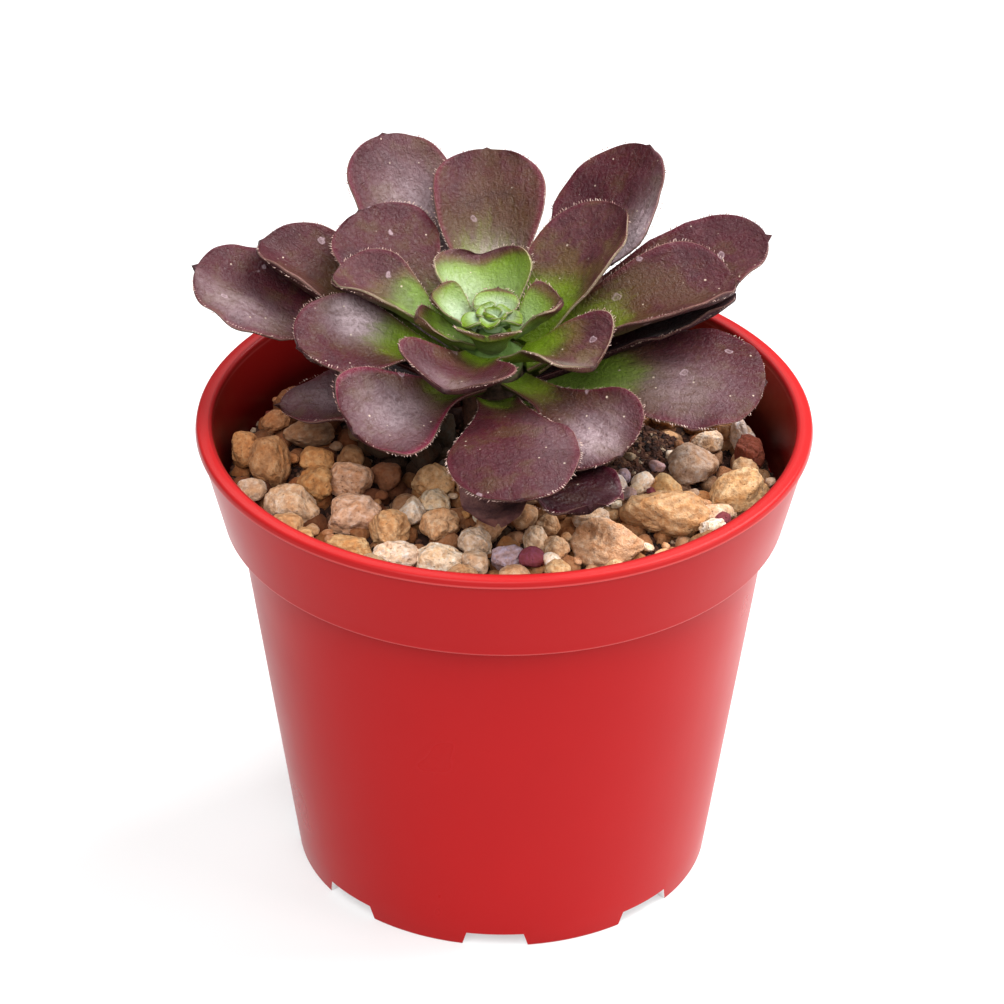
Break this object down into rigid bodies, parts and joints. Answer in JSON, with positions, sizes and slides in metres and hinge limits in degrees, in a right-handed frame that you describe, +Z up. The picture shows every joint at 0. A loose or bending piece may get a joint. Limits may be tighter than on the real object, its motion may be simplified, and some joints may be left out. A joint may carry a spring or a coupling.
{
  "type": "potted succulent",
  "caption": "Rosette succulent with purple spoon-shaped leaves and a green heart, in a red plastic nursery pot topped with gravel.",
  "frame": {"origin": "centre of the circle that the pot's foot stands on", "axes": "+Z up along the pot's axis, -Y towards the front of the plant, +X to its right"},
  "size_m": [0.1061, 0.105, 0.1193],
  "materials": {
    "pot_red_plastic": "satin",
    "potting_mix": "matte",
    "gravel_stones": "matte",
    "stem_bark": "matte",
    "crown_green": "satin",
    "dry_stalk": "matte",
    "leaf_purple": "satin",
    "leaf_purple_dark": "satin",
    "leaf_green": "satin",
    "leaf_withered": "matte"
  },
  "bodies": {
    "root": {"pot": "pot_red_plastic", "potting_mix": "potting_mix", "gravel": "gravel_stones", "stem": "stem_bark", "crown": "crown_green", "dry_stalk": "dry_stalk", "leaf_low_back_right": "leaf_purple_dark", "leaf_low_back": "leaf_purple_dark", "leaf_low_back_left": "leaf_purple_dark", "leaf_low_far_left": "leaf_purple_dark", "leaf_under_front": "leaf_purple_dark", "leaf_under_right": "leaf_purple_dark", "leaf_low_left": "leaf_purple", "leaf_low_right": "leaf_purple", "leaf_back_right": "leaf_purple", "leaf_back_left": "leaf_purple", "leaf_far_left": "leaf_purple", "leaf_front": "leaf_purple", "leaf_far_right": "leaf_purple", "leaf_back_middle": "leaf_purple", "leaf_upper_left": "leaf_purple", "leaf_front_left": "leaf_purple", "leaf_front_right": "leaf_purple", "leaf_upper_right": "leaf_purple", "leaf_mid_back_left": "leaf_purple", "leaf_mid_left": "leaf_purple", "leaf_inner_front": "leaf_purple", "leaf_inner_front_right": "leaf_green", "leaf_inner_left": "leaf_green", "leaf_inner_back_right": "leaf_green", "leaf_heart_back": "leaf_green", "leaf_heart_left_outer": "leaf_green", "leaf_heart_left_inner": "leaf_green", "leaf_heart_right": "leaf_green", "leaf_heart_front": "leaf_green", "leaf_heart_inner": "leaf_green", "leaf_withered": "leaf_withered"}
  },
  "joints": []
}
